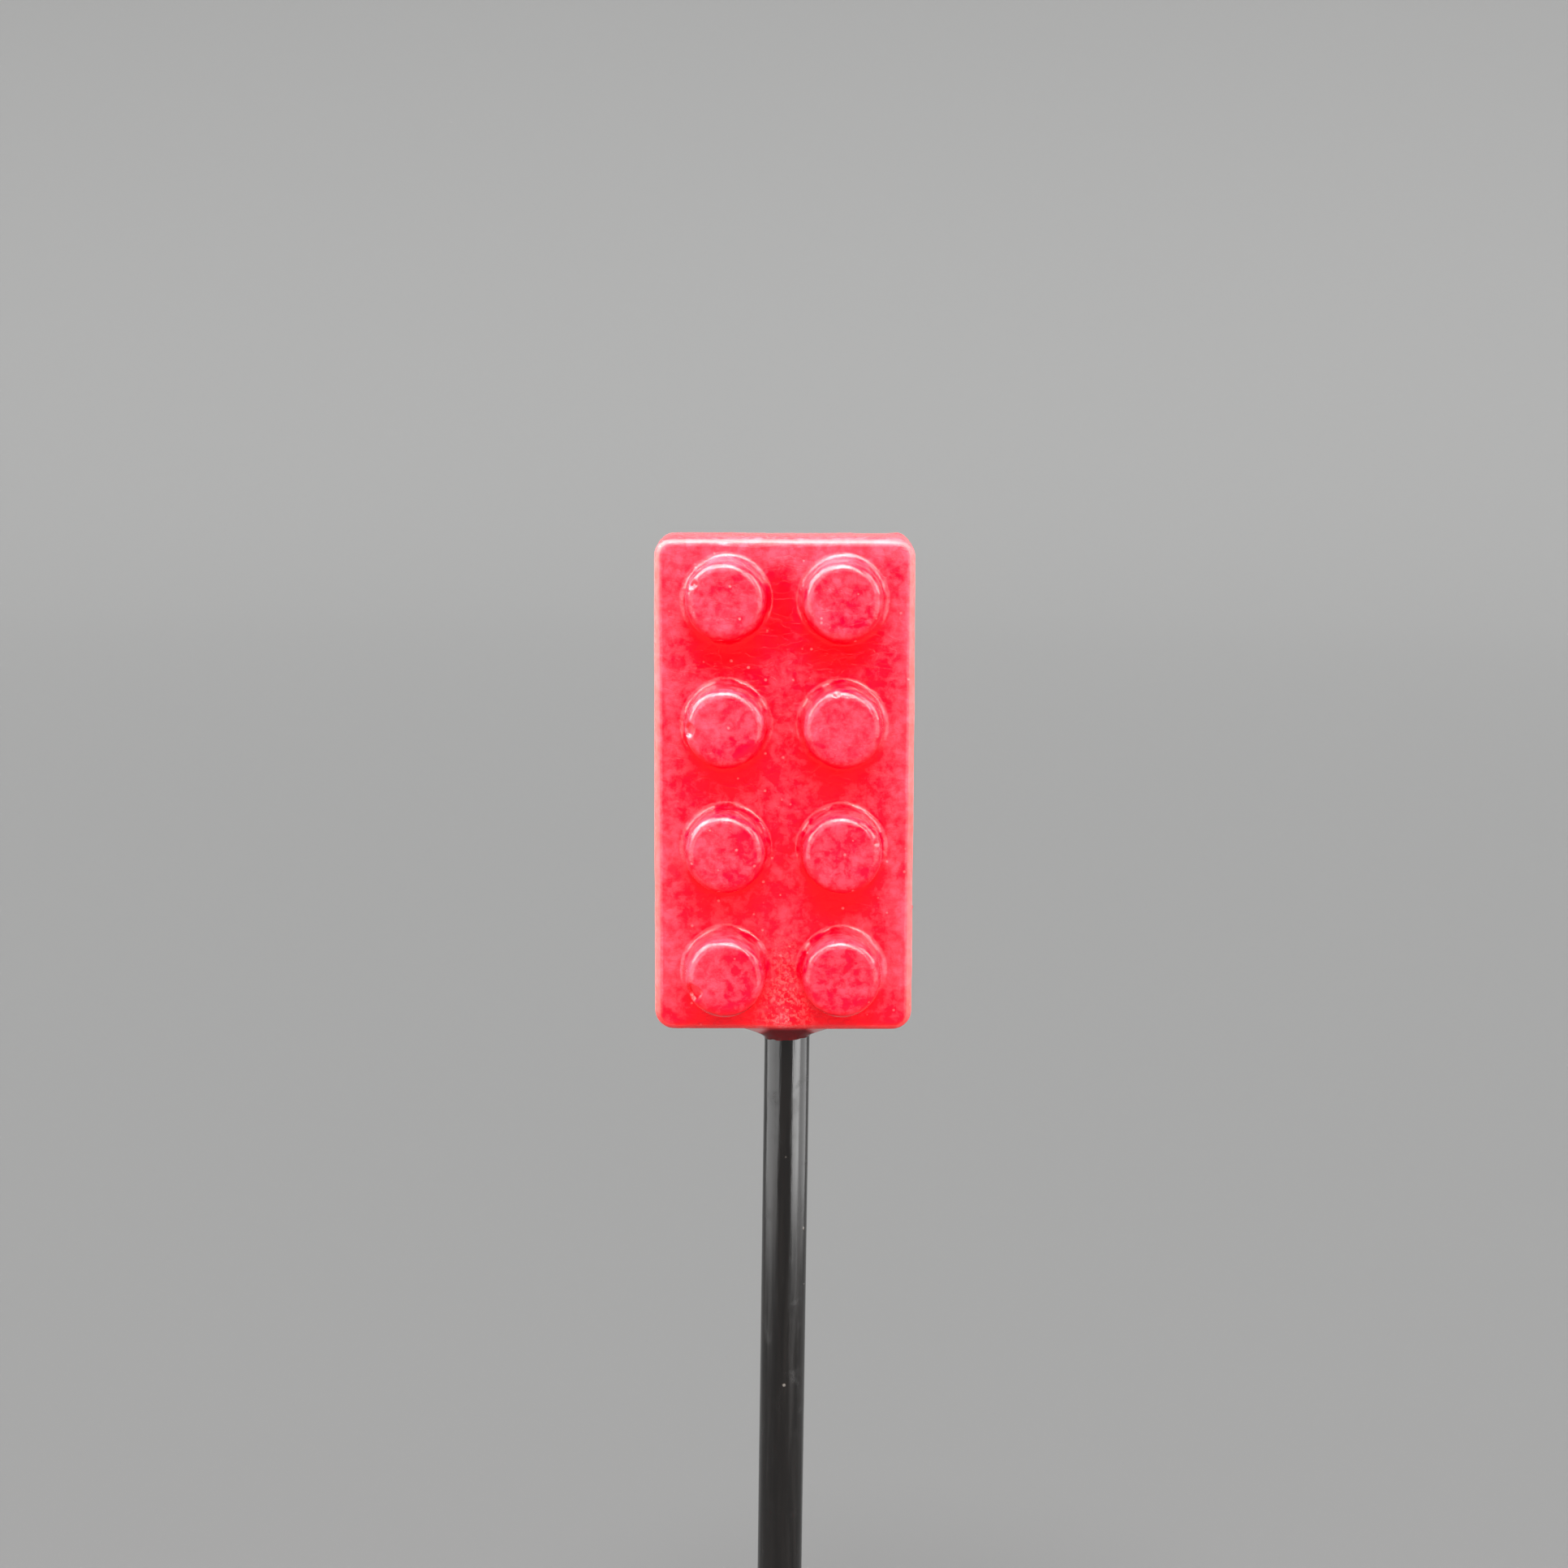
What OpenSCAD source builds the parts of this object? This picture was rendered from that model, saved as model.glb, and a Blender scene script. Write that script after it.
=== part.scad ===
// Hard-candy lollipop: a cast head in the shape of a studded toy building brick,
// on a hollow plastic stick. Millimetres. The origin is the centre of the stick's
// free end, +Z runs up the stick, +X is to the right and the studs face -Y.

/* [Stick] */
// Overall length of the stick, including the part cast into the head
stick_len = 114; // [100:1:150]
// Outside diameter of the stick
stick_d = 4; // [3.5:0.1:5]
// Diameter of the hole through the stick
bore_d = 2; // [1:0.1:2.4]
// How much of the stick is inside the head
embed_len = 22; // [16:1:30]

/* [Head] */
// Width of the brick across its back, its widest face
head_w = 22.8; // [21:0.1:28]
// Height of the brick across its back
head_h = 43.4; // [43:0.1:50]
// Thickness of the brick without its studs
head_t = 7.4; // [7:0.1:12]
// Depth of the stick's axis behind the front face
front_depth = 3.9; // [3:0.1:4.5]
// Radius of the four corners of the outline
corner_r = 1.8; // [1.2:0.1:3]
// Radius of the rounding round the front face
front_round = 0.8; // [0.3:0.1:1]
// Radius of the rounding round the back face
back_round = 0.3; // [0.1:0.1:0.5]
// Taper of the sides that lets the casting leave its mould, in degrees
draft = 1; // [0.5:0.5:3]

/* [Studs] */
// Studs across the width
stud_cols = 2; // [1:1:2]
// Studs up the height
stud_rows = 4; // [1:1:4]
// Distance between stud centres across the width
pitch_x = 10.05; // [9:0.05:11]
// Distance between stud centres up the height
pitch_z = 10.8; // [9:0.05:11]
// Height of the grid's centre above the middle of the head
stud_rise = 0.1; // [-0.3:0.1:0.3]
// Height of a stud above the front face
stud_h = 4.8; // [2:0.1:5]
// Diameter of a stud where it leaves the front face
stud_base_d = 7.2; // [6:0.1:7.4]
// Diameter of a stud at its top, measured to the sharp corner
stud_top_d = 6.8; // [5.6:0.1:7]
// Rounding of a stud's top edge
stud_round = 0.8; // [0.2:0.1:1.2]
// Hollow rounding between a stud and the front face
stud_fillet = 0.4; // [0.1:0.1:0.5]

/* [Casting] */
// Sideways offset of the head's centre line from the stick, where they meet
head_offset = -0.35; // [-1:0.05:1]
// Lean of the head against the stick, in degrees, positive to the right
head_lean = -0.6; // [-2:0.1:2]
// Length of the candy collar that hangs below the head round the stick
collar_len = 1.3; // [1:0.1:4]
// Radius of the collar where it meets the head
collar_r = 3.1; // [2.6:0.1:3.2]
// Thickness of the collar's lower lip
collar_lip = 0.2; // [0.1:0.05:0.5]
// How far the candy reaches down the hole of the stick
plug_len = 6; // [2:0.5:12]

/* [Lock grooves] */
// Grooves that the candy grips, the first one just inside the collar's lip
lock_count = 3; // [1:1:4]
// Distance from one groove to the next
lock_pitch = 7; // [4:0.5:8]
// Width of a groove
lock_w = 0.8; // [0.6:0.1:1.5]
// Depth of a groove
lock_depth = 0.25; // [0.2:0.05:0.4]

/* [Hidden] */

round_fn = 64; // facets of true round shapes
hull_fn = 32; // facets of the corner posts that are hulled
arc_steps = 5; // steps of a rounded edge
lap = 0.5; // how far joined solids run into each other

stick_r = stick_d / 2;
bore_r = bore_d / 2;
head_z = stick_len - embed_len; // height of the head's lower face
exposed_len = head_z - collar_len; // stretch of the stick that stays bare
back_depth = head_t - front_depth;
draft_in = head_t * tan(draft); // how much each side comes in towards the front

candy_red = [0.93, 0.08, 0.18];
stick_black = [0.08, 0.08, 0.08];

// Points of an arc of radius r about [cx, cy], from angle a0 to a1.
function arc(cx, cy, r, a0, a1) =
    [for (i = [0 : arc_steps]) let (a = a0 + (a1 - a0) * i / arc_steps) [cx + r * cos(a), cy + r * sin(a)]];

// One corner of the brick as a tapered post about Z, from its back face at z = 0 to its
// front face at z = head_t, with both ends rounded.
module corner_post() {
    front_r = corner_r - draft_in;
    rotate_extrude($fn = hull_fn)
        polygon(concat(
            [[0, 0]],
            arc(corner_r - back_round, back_round, back_round, -90, 0),
            arc(front_r - front_round, head_t - front_round, front_round, 0, 90),
            [[0, head_t]]
        ));
}

// The plain brick: lower face on z = 0, centred on x = 0, the stick's axis at y = 0.
module brick_body() {
    cx = head_w / 2 - corner_r;
    hull()
        for (x = [-cx, cx], z = [corner_r, head_h - corner_r])
            translate([x, back_depth, z])
                rotate([90, 0, 0])
                    corner_post();
}

// One stud about Z, standing on z = 0, with a rounded top edge and a hollow foot.
module stud() {
    base_r = stud_base_d / 2;
    top_r = stud_top_d / 2;
    rotate_extrude($fn = round_fn)
        polygon(concat(
            [[0, -lap], [base_r + stud_fillet, -lap], [base_r + stud_fillet, 0]],
            arc(base_r + stud_fillet, stud_fillet, stud_fillet, -90, -180),
            arc(top_r - stud_round, stud_h - stud_round, stud_round, 0, 90),
            [[0, stud_h]]
        ));
}

// All the studs on the front face.
module stud_grid() {
    for (col = [0 : stud_cols - 1], row = [0 : stud_rows - 1])
        translate([
            (col - (stud_cols - 1) / 2) * pitch_x,
            -front_depth,
            head_h / 2 + stud_rise + (row - (stud_rows - 1) / 2) * pitch_z
        ])
            rotate([90, 0, 0])
                stud();
}

// The skirt of candy that ran down the stick: wide under the head, thin at its lip.
module collar() {
    lip_r = stick_r + collar_lip;
    steps = 8;
    rotate_extrude($fn = round_fn)
        polygon(concat(
            [[0, -collar_len]],
            [for (i = [0 : steps]) let (t = i / steps)
                [lip_r + (collar_r - lip_r) * pow(t, 2.5), -collar_len * (1 - t)]],
            [[collar_r, lap], [0, lap]]
        ));
}

// The stick with its grooves but without its hole, from its free end up.
module stick_outside() {
    difference() {
        cylinder(h = stick_len, d = stick_d, $fn = round_fn);
        for (i = [0 : lock_count - 1])
            translate([0, 0, exposed_len + i * lock_pitch])
                difference() {
                    cylinder(h = lock_w, r = stick_r + lap, $fn = round_fn);
                    translate([0, 0, -lap])
                        cylinder(h = lock_w + 2 * lap, r = stick_r - lock_depth, $fn = round_fn);
                }
    }
}

// Everything that was poured in one go: brick, studs, collar and the plug in the stick.
module candy_head() {
    color(candy_red) {
        difference() {
            union() {
                translate([head_offset, 0, head_z])
                    rotate([0, head_lean, 0]) {
                        brick_body();
                        stud_grid();
                    }
                translate([0, 0, head_z])
                    collar();
            }
            stick_outside();
        }
        translate([0, 0, stick_len - plug_len])
            cylinder(h = plug_len + lap, r = bore_r, $fn = round_fn);
    }
}

// The extruded tube.
module stick() {
    color(stick_black)
        difference() {
            stick_outside();
            translate([0, 0, -lap])
                cylinder(h = stick_len + 2 * lap, d = bore_d, $fn = round_fn);
        }
}

candy_head();
stick();
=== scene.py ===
import math

import bmesh
import bpy
from mathutils import Matrix, Vector, noise


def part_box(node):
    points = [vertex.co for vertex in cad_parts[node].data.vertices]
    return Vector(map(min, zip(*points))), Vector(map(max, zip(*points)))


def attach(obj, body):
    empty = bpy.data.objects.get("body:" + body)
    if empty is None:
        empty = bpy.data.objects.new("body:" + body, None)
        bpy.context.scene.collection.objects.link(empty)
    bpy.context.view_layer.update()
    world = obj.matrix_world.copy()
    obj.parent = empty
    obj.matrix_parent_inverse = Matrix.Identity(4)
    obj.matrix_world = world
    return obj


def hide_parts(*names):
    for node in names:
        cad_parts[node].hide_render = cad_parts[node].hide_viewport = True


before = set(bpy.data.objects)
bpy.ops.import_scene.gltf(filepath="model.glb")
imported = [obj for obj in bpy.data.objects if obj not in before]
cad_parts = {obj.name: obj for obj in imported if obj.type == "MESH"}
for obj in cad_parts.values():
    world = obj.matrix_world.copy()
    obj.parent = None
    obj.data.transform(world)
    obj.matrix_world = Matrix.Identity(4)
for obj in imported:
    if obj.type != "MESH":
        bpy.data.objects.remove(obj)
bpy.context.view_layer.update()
mm = 0.001
print("frame loaded:", sorted(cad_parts))

headLow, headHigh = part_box("candy_head")
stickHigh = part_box("stick")[1]


def blend(a, b, t):
    return a + (b - a) * t


def smooth(edge0, edge1, x):
    t = min(1.0, max(0.0, (x - edge0) / (edge1 - edge0)))
    return t * t * (3 - 2 * t)


def arcSteps(count, start, end):
    return [math.radians(blend(start, end, i / count)) for i in range(count + 1)]


def squareToDisc(u, v):  # a square grid pulled onto a disc, so a round top needs no pole
    return u * math.sqrt(1 - v * v / 2), v * math.sqrt(1 - u * u / 2)


def rimDirections(across, up):  # unit directions round a disc, in step with a cell's edge points
    square = [(-1 + 2 * i / across, -1) for i in range(across)]
    square += [(1, -1 + 2 * i / up) for i in range(up)]
    square += [(1 - 2 * i / across, 1) for i in range(across)]
    square += [(-1, 1 - 2 * i / up) for i in range(up)]
    return [squareToDisc(u, v) for u, v in square]


def makeObject(name, quads, weld=0.002 * mm):  # loose quads welded into one closed mesh
    bm = bmesh.new()
    for corners in quads:
        bm.faces.new([bm.verts.new(p) for p in corners])
    bmesh.ops.remove_doubles(bm, verts=bm.verts, dist=weld)
    bmesh.ops.recalc_face_normals(bm, faces=bm.faces)
    for face in bm.faces:
        face.smooth = True
    mesh = bpy.data.meshes.new(name)
    bm.to_mesh(mesh)
    bm.free()
    ob = bpy.data.objects.new(name, mesh)
    bpy.context.scene.collection.objects.link(ob)
    return ob


def bakeSubdivision(ob, levels):
    ob.modifiers.new("smoothing", "SUBSURF").levels = levels
    done = ob.evaluated_get(bpy.context.evaluated_depsgraph_get())
    mesh = bpy.data.meshes.new_from_object(done)
    ob.modifiers.clear()
    ob.data = mesh


def loft(rings, closed=True):  # quads between neighbouring rings of equal length
    quads = []
    for near, far in zip(rings, rings[1:]):
        count = len(near)
        for k in range(count if closed else count - 1):
            n = (k + 1) % count
            quads.append((near[k], near[n], far[n], far[k]))
    return quads


head = {
    "width": 22.8 * mm,  # across the back, the widest face
    "height": 43.4 * mm,
    "corner": 1.8 * mm,
    "leastCorner": 0.15 * mm,
    "draft": math.radians(1),
    "frontRound": 0.8 * mm,
    "backRound": 0.3 * mm,
    "studHeight": 4.8 * mm,
    "lean": math.radians(-0.6),
    "offset": -0.35 * mm,
    "collarLength": 1.3 * mm,
    "collarReach": (6.0 * mm, 5.2 * mm, 2.25 * mm),  # to the left, to the right, to the front and back
    "collarLip": 0.10 * mm,
    "collarHollow": (2.3, 1.45),  # how hollow its flare is at the front, and at the sides
    "collarSlant": 0.11,  # how much less it hangs down on the right
    "collarRagged": 0.2 * mm,
    "plugLength": 6.0 * mm,
    "grip": 0.04 * mm,  # how far the candy bites into the stick, so that no gap shows
    "flatStrip": 0.06 * mm,  # between the rounded front edge and the studs' cells
    "backStrips": (0.35 * mm, 0.8 * mm),  # rings of faces just inside the back edge
    "cornerSteps": 4,  # mesh points on each half of a corner
    "frontSteps": 6,
    "wallSteps": 14,
    "backSteps": 3,
    "collarSteps": 14,
    "collarColumns": 18,  # mesh columns of the lower wall that the collar takes over
}
head["back"] = headHigh.y
head["front"] = headLow.y + head["studHeight"]
head["base"] = headLow.z + head["collarLength"]
head["draftIn"] = (head["back"] - head["front"]) * math.tan(head["draft"])
head["matrix"] = Matrix.Translation((head["offset"], 0, head["base"]))
head["matrix"] @= Matrix.Rotation(head["lean"], 4, "Y")

studs = {
    "columns": 2,
    "rows": 4,
    "pitchX": 10.05 * mm,
    "pitchZ": 10.8 * mm,
    "rise": 0.1 * mm,
    "baseRadius": 3.5 * mm,
    "topRadius": 3.4 * mm,
    "round": 0.8 * mm,
    "fillet": 0.55 * mm,
    "side": 16,  # mesh points along one side of a stud's cell
    "flatSteps": (0.3, 0.6, 0.82, 0.94),  # mesh rings from the cell's rim in to the foot,
    "wallSteps": (0.17, 0.34, 0.5, 0.67, 0.84),  # up the wall,
    "topSteps": (0.93, 0.8),  # and in over the top
}

stick = {
    "radius": 2.0 * mm,
    "bore": 1.0 * mm,
    "length": stickHigh.z,
    "grooves": 3,
    "grooveFirst": 0.4 * mm,  # height of the first one above the collar's lip
    "groovePitch": 7.0 * mm,
    "grooveWidth": 0.8 * mm,
    "grooveDepth": 0.25 * mm,
    "grooveSlope": 0.02 * mm,
    "grooveGuard": 0.08 * mm,  # an extra ring this far below a groove keeps the shading straight
    "cutRound": 0.08 * mm,
    "flutes": 0.012 * mm,  # how deep the lengthwise draw lines are
    "oval": 0.010 * mm,
    "around": 96,
}


def studCentres():
    for column in range(studs["columns"]):
        for row in range(studs["rows"]):
            x = (column - (studs["columns"] - 1) / 2) * studs["pitchX"]
            z = head["height"] / 2 + studs["rise"] + (row - (studs["rows"] - 1) / 2) * studs["pitchZ"]
            yield column, row, x, z


def outline(inset):  # the brick's outline, moved in by inset, from the lower left corner round
    w = head["width"] / 2 - inset
    h = head["height"] / 2 - inset
    r = max(head["corner"] - inset, head["leastCorner"])
    bend = head["cornerSteps"]
    sides = [(w, h, studs["columns"], -90), (h, w, studs["rows"], 0),
             (w, h, studs["columns"], 90), (h, w, studs["rows"], 180)]
    points = []
    for along, out, cells, turn in sides:
        count = cells * studs["side"]
        spin = Matrix.Rotation(math.radians(turn + 90), 2)
        for i in range(count):
            if i < bend:
                a = math.radians(-135 + 45 * i / bend)
                p = (-along + r + r * math.cos(a), -out + r + r * math.sin(a))
            elif i <= count - bend:
                t = (i - bend) / (count - 2 * bend)
                p = (blend(-along + r, along - r, t), -out)
            else:
                a = math.radians(-90 + 45 * (i - count + bend) / bend)
                p = (along - r + r * math.cos(a), -out + r + r * math.sin(a))
            points.append(spin @ Vector(p))
    return [Vector((p.x, 0, p.y + head["height"] / 2)) for p in points]


def ringAt(inset, y):
    return [Vector((p.x, y, p.z)) for p in outline(inset)]


def latticeLines(ring):  # the front face's edge and the lines between the studs' cells
    side, columns, rows = studs["side"], studs["columns"], studs["rows"]
    wide, tall = side * columns, side * rows
    total = 2 * (wide + tall)
    rungs = []
    for j in range(rows + 1):
        left, right = ring[(total - side * j) % total], ring[wide + side * j]
        if j == 0:
            rungs.append(ring[0:wide + 1])
        elif j == rows:
            rungs.append([ring[2 * wide + tall - i] for i in range(wide + 1)])
        else:
            rungs.append([left.lerp(right, i / wide) for i in range(wide + 1)])
    rails = [[ring[(total - n) % total] for n in range(tall + 1)]]
    for i in range(1, columns):
        rail = []
        for j in range(rows):
            low, high = rungs[j][side * i], rungs[j + 1][side * i]
            rail += [low.lerp(high, n / side) for n in range(side)]
        rails.append(rail + [rungs[rows][side * i]])
    rails.append([ring[wide + n] for n in range(tall + 1)])
    return rungs, rails


def studPatch(rim, x, z):  # one stud and the flat round it, out to the cell's rim
    side, front = studs["side"], head["front"]
    rays = rimDirections(side, side)

    def circle(radius, out):
        return [Vector((x + u * radius, front - out, z + v * radius)) for u, v in rays]

    foot, fillet = studs["baseRadius"] + studs["fillet"], studs["fillet"]
    top, edge, height = studs["topRadius"], studs["round"], head["studHeight"]
    ground = circle(foot, 0)
    rings = [rim] + [[a.lerp(b, t) for a, b in zip(rim, ground)] for t in studs["flatSteps"]]
    rings += [circle(foot - fillet * math.sin(a), fillet - fillet * math.cos(a))
              for a in arcSteps(3, 0, 90)]
    wallFoot, wallTop = (foot - fillet, fillet), (top, height - edge)
    rings += [circle(blend(wallFoot[0], wallTop[0], t), blend(wallFoot[1], wallTop[1], t))
              for t in studs["wallSteps"]]
    rings += [circle(top - edge + edge * math.cos(a), height - edge + edge * math.sin(a))
              for a in arcSteps(5, 0, 90)]
    rings += [circle((top - edge) * share, height) for share in studs["topSteps"]]
    inner = (top - edge) * studs["topSteps"][-1]
    grid = [[Vector((x + inner * p[0], front - height, z + inner * p[1]))
             for p in (squareToDisc(-1 + 2 * i / side, -1 + 2 * j / side) for i in range(side + 1))]
            for j in range(side + 1)]
    return loft(rings) + loft(grid, closed=False)


def stickProfile(low, high):  # radius and height up the outside of the stick, grooves included
    radius, slope = stick["radius"], stick["grooveSlope"]
    neck = radius - stick["grooveDepth"]
    points = [(radius, low)]
    first = head["base"] - head["collarLength"] + stick["grooveFirst"]
    for i in range(stick["grooves"]):
        z = first + i * stick["groovePitch"]
        end = z + stick["grooveWidth"]
        if low <= z:
            points += [(radius, z - stick["grooveGuard"]), (radius, z), (neck, z + slope),
                       (neck, end - slope), (radius, end)]
    return [p for p in points if p[1] <= high] + [(radius, high)]


def fillSteps(profile, step):  # adds points to the long straight stretches of a profile
    points = [profile[0]]
    for a, b in zip(profile, profile[1:]):
        length = math.hypot(b[0] - a[0], b[1] - a[1])
        if length < 1e-9:
            continue
        count = max(1, round(length / step))
        points += [(blend(a[0], b[0], i / count), blend(a[1], b[1], i / count))
                   for i in range(1, count + 1)]
    return points


def collarPatch(rim, across, up):  # the skirt down the stick, its lip and the stick's hole
    rays = rimDirections(across, up)
    base, length = head["base"], head["collarLength"]

    def circle(radius, z):
        return [Vector((u * radius, v * radius, z)) for u, v in rays]

    left, right, deep = head["collarReach"]
    foot = []
    for (u, v), r in zip(rays, rim):
        wide = left if u < 0 else right
        foot.append(Vector((u * wide, v * deep, r.z)))
    rings = [rim, [a.lerp(b, 0.5) for a, b in zip(rim, foot)], foot]
    lip = stick["radius"] + head["collarLip"]
    steps = head["collarSteps"]
    for i in range(1, steps + 1):
        t = 1 - i / steps
        ring = []
        for (u, v), f in zip(rays, foot):
            flare = max(0.0, t - 0.04) ** blend(*head["collarHollow"], abs(u))
            # the film ran lower on the left, and ends in a ragged line
            reach = length * (1 - head["collarSlant"] * (1 + u) * (1 - t))
            ragged = head["collarRagged"] * noise.noise(Vector((u * 2.3, v * 2.3, 4.1))) * (1 - t)
            z = base - reach * (1 - t) + max(ragged, 0)
            ring.append(Vector((blend(u * lip, f.x, flare), blend(v * lip, f.y, flare), z)))
        rings.append(ring)
    tip = rings[-1]
    hold = stick["radius"] - head["grip"]
    for radius, drop in ((lip - 0.35 * head["collarLip"], 0.03 * mm), (hold, 0.01 * mm)):
        rings.append([Vector((u * radius, v * radius, p.z - drop))
                      for p, (u, v) in zip(tip, rays)])
    start = base - 0.6 * mm
    inside = [(hold, start)] + [(r - head["grip"], z) for r, z in stickProfile(start, stick["length"])]
    plug, floorZ = stick["bore"] - head["grip"] / 2, stick["length"] - head["plugLength"]
    inside += [(plug, stick["length"]), (plug, floorZ)]
    rings += [circle(r, z) for r, z in fillSteps(inside, 1.2 * mm)]
    grid = [[Vector((plug * p[0], plug * p[1], floorZ)) for p in
             (squareToDisc(-1 + 2 * i / across, -1 + 2 * j / up) for i in range(across + 1))]
            for j in range(up + 1)]
    return loft(rings) + loft(grid, closed=False)


def headQuads():
    side, columns, rows = studs["side"], studs["columns"], studs["rows"]
    toRow = head["matrix"]
    edge, front, back = head["frontRound"], head["front"], head["back"]
    quads = []

    frontRing = ringAt(head["draftIn"] + edge + head["flatStrip"], front)
    rungs, rails = latticeLines(frontRing)
    for column, row, x, z in studCentres():
        c, r = side * column, side * row
        rim = rungs[row][c:c + side] + rails[column + 1][r:r + side]
        rim += rungs[row + 1][c + side:c:-1] + rails[column][r + side:r:-1]
        quads += studPatch(rim, x, z)

    rings = [frontRing]
    for a in arcSteps(head["frontSteps"], 0, 90):
        inset = head["draftIn"] + edge * (1 - math.sin(a))
        rings.append(ringAt(inset, front + edge * (1 - math.cos(a))))
    firstWall = len(rings) - 1
    backRound = head["backRound"]
    wallEnd = back - backRound
    for i in range(1, head["wallSteps"] + 1):
        t = i / head["wallSteps"]
        rings.append(ringAt(head["draftIn"] * (1 - t), blend(front + edge, wallEnd, t)))
    lastWall = len(rings) - 1
    for a in arcSteps(head["backSteps"], 0, 90)[1:]:
        rings.append(ringAt(backRound * (1 - math.cos(a)), wallEnd + backRound * math.sin(a)))
    rings += [ringAt(backRound + extra, back) for extra in head["backStrips"]]

    wide, half = side * columns, head["collarColumns"] // 2
    holeFrom, holeTo = wide // 2 - half, wide // 2 + half
    for i, (near, far) in enumerate(zip(rings, rings[1:])):
        for k in range(len(near)):
            if firstWall <= i < lastWall and holeFrom <= k < holeTo:
                continue
            n = (k + 1) % len(near)
            quads.append((near[k], near[n], far[n], far[k]))

    backRungs, backRails = latticeLines(rings[-1])
    bottom, top, left, right = backRungs[0], backRungs[-1], backRails[0], backRails[-1]
    tall = side * rows
    grid = []
    for j in range(tall + 1):
        v = j / tall
        line = []
        for i in range(wide + 1):
            u = i / wide
            corners = (bottom[0] * (1 - u) + bottom[-1] * u) * (1 - v)
            corners += (top[0] * (1 - u) + top[-1] * u) * v
            line.append(bottom[i].lerp(top[i], v) + left[j].lerp(right[j], u) - corners)
        grid.append(line)
    quads += loft(grid, closed=False)
    quads = [tuple(toRow @ p for p in corners) for corners in quads]

    rim = [rings[firstWall][k] for k in range(holeFrom, holeTo)]
    rim += [rings[i][holeTo] for i in range(firstWall, lastWall)]
    rim += [rings[lastWall][k] for k in range(holeTo, holeFrom, -1)]
    rim += [rings[i][holeFrom] for i in range(lastWall, firstWall, -1)]
    return quads + collarPatch([toRow @ p for p in rim], holeTo - holeFrom, lastWall - firstWall)


# What the casting picked up. Places are in the head's own axes, from the middle of its lower face.
marks = {
    "wave": 0.05 * mm,
    "waveSize": 7.0 * mm,
    "ripple": 0.016 * mm,
    "rippleSize": 1.3 * mm,
    "studDish": 0.06 * mm,
    "backSink": 0.35 * mm,
    "grit": 0.10 * mm,
    "gritSize": 0.6 * mm,
    "gritWidth": 1.9 * mm,
    "gritTop": 11.5 * mm,
    "chips": [  # stud column, stud row, angle round the stud, width, depth
        (0, 0, 204, 0.80 * mm, 0.60 * mm),
        (0, 2, 181, 0.60 * mm, 0.42 * mm),
        (0, 3, 151, 0.42 * mm, 0.30 * mm),
        (1, 1, 20, 0.30 * mm, 0.14 * mm),
        (1, 2, 100, 0.35 * mm, 0.12 * mm),
    ],
    "chipIn": 0.2 * mm,  # from the stud's rim in to a chip's middle
    "crumbSize": 0.4 * mm,
    "beads": [  # drops that stand proud of the front: across, up, radius
        (-5.3 * mm, 42.55 * mm, 0.22 * mm),
        (0.9 * mm, 19.6 * mm, 0.20 * mm),
        (-1.6 * mm, 14.1 * mm, 0.16 * mm),
    ],
    "flash": [  # side of the outline, height, half length, how far it stands out
        (-1, 20.3 * mm, 0.5 * mm, 0.14 * mm),
        (-1, 15.0 * mm, 0.35 * mm, 0.12 * mm),
        (1, 9.9 * mm, 0.4 * mm, 0.22 * mm),
        (1, 31.5 * mm, 0.6 * mm, 0.1 * mm),
    ],
    "flashSize": 0.35 * mm,
    "burr": 0.13 * mm,  # on the top right corner of the back
    "burrSize": 0.8 * mm,
}


def bump(distance, size):  # a smooth bump, 1 in its middle
    return math.exp(-(distance / size) ** 2)


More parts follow.
